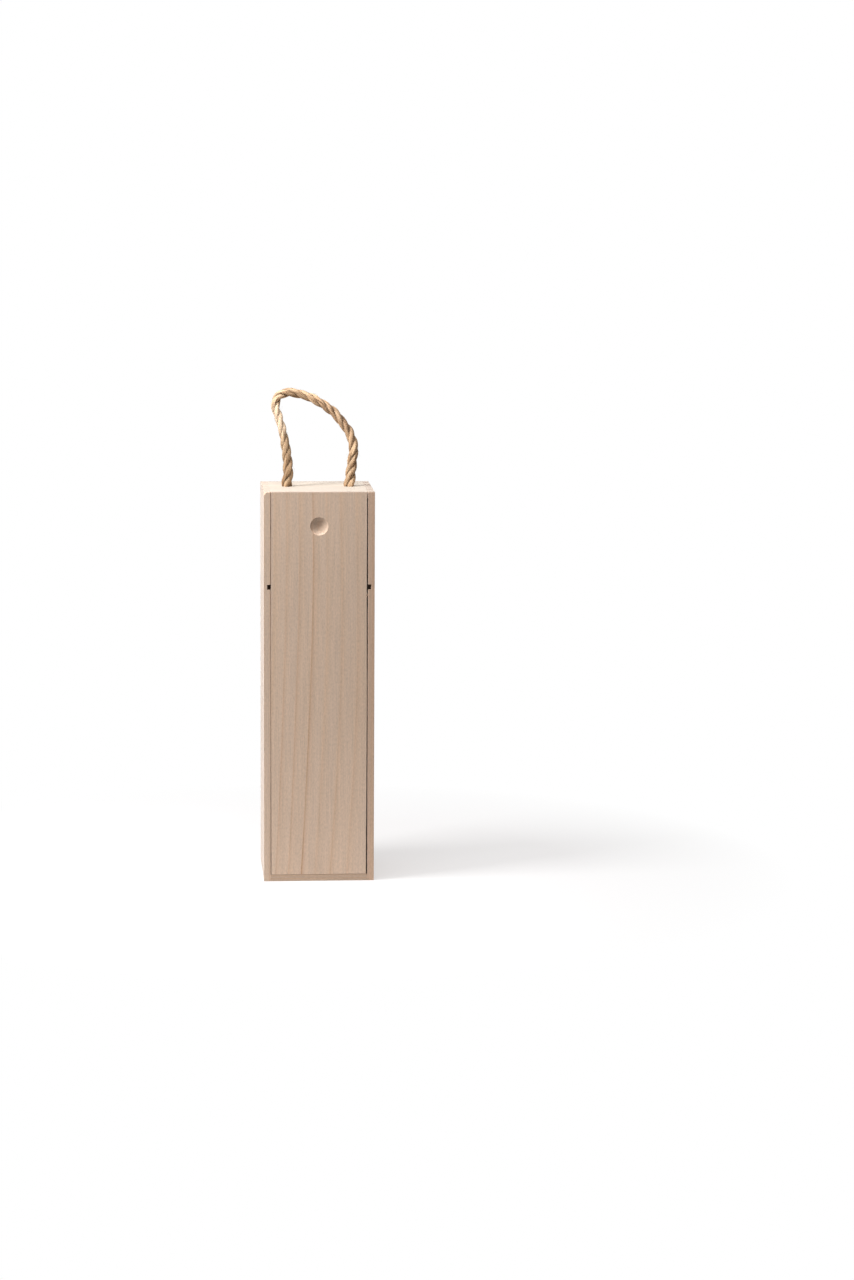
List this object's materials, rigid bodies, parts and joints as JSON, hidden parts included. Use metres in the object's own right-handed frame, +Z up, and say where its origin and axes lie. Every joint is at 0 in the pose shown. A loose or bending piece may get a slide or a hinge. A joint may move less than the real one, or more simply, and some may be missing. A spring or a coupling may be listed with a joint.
{
  "type": "wine box",
  "caption": "Upright pale wooden box for a wine bottle, with finger-jointed boards, a lift-off front lid with a thumb dish, and a loop of rope as its handle.",
  "frame": {"origin": "centre of the box's base, on the surface that it stands on; the rope is left out of the box that this is measured on", "axes": "+Z up, -Y towards the lid at the front, +X to the right as seen from the front"},
  "size_m": [0.1, 0.1, 0.4447],
  "materials": {
    "board_wood": "raw, finely sanded",
    "lid_wood": "raw, finely sanded, upright grain",
    "peg_wood": "raw turned dowel",
    "rope_fibre": "rough natural fibre in three laid strands"
  },
  "bodies": {
    "case": {"side_left": "board_wood", "side_right": "board_wood", "top_panel": "board_wood", "bottom_panel": "board_wood", "back_panel": "board_wood", "rope_handle": "rope_fibre", "rope_knot_left": "rope_fibre", "rope_knot_right": "rope_fibre"},
    "front_lid": {"lid": "lid_wood", "lid_peg_left": "peg_wood", "lid_peg_right": "peg_wood"}
  },
  "joints": [
    {"name": "lid_slide", "type": "slide", "parent": "case", "child": "front_lid", "axis": [0, 0, 1], "range_m": [0, 0.008]}
  ]
}
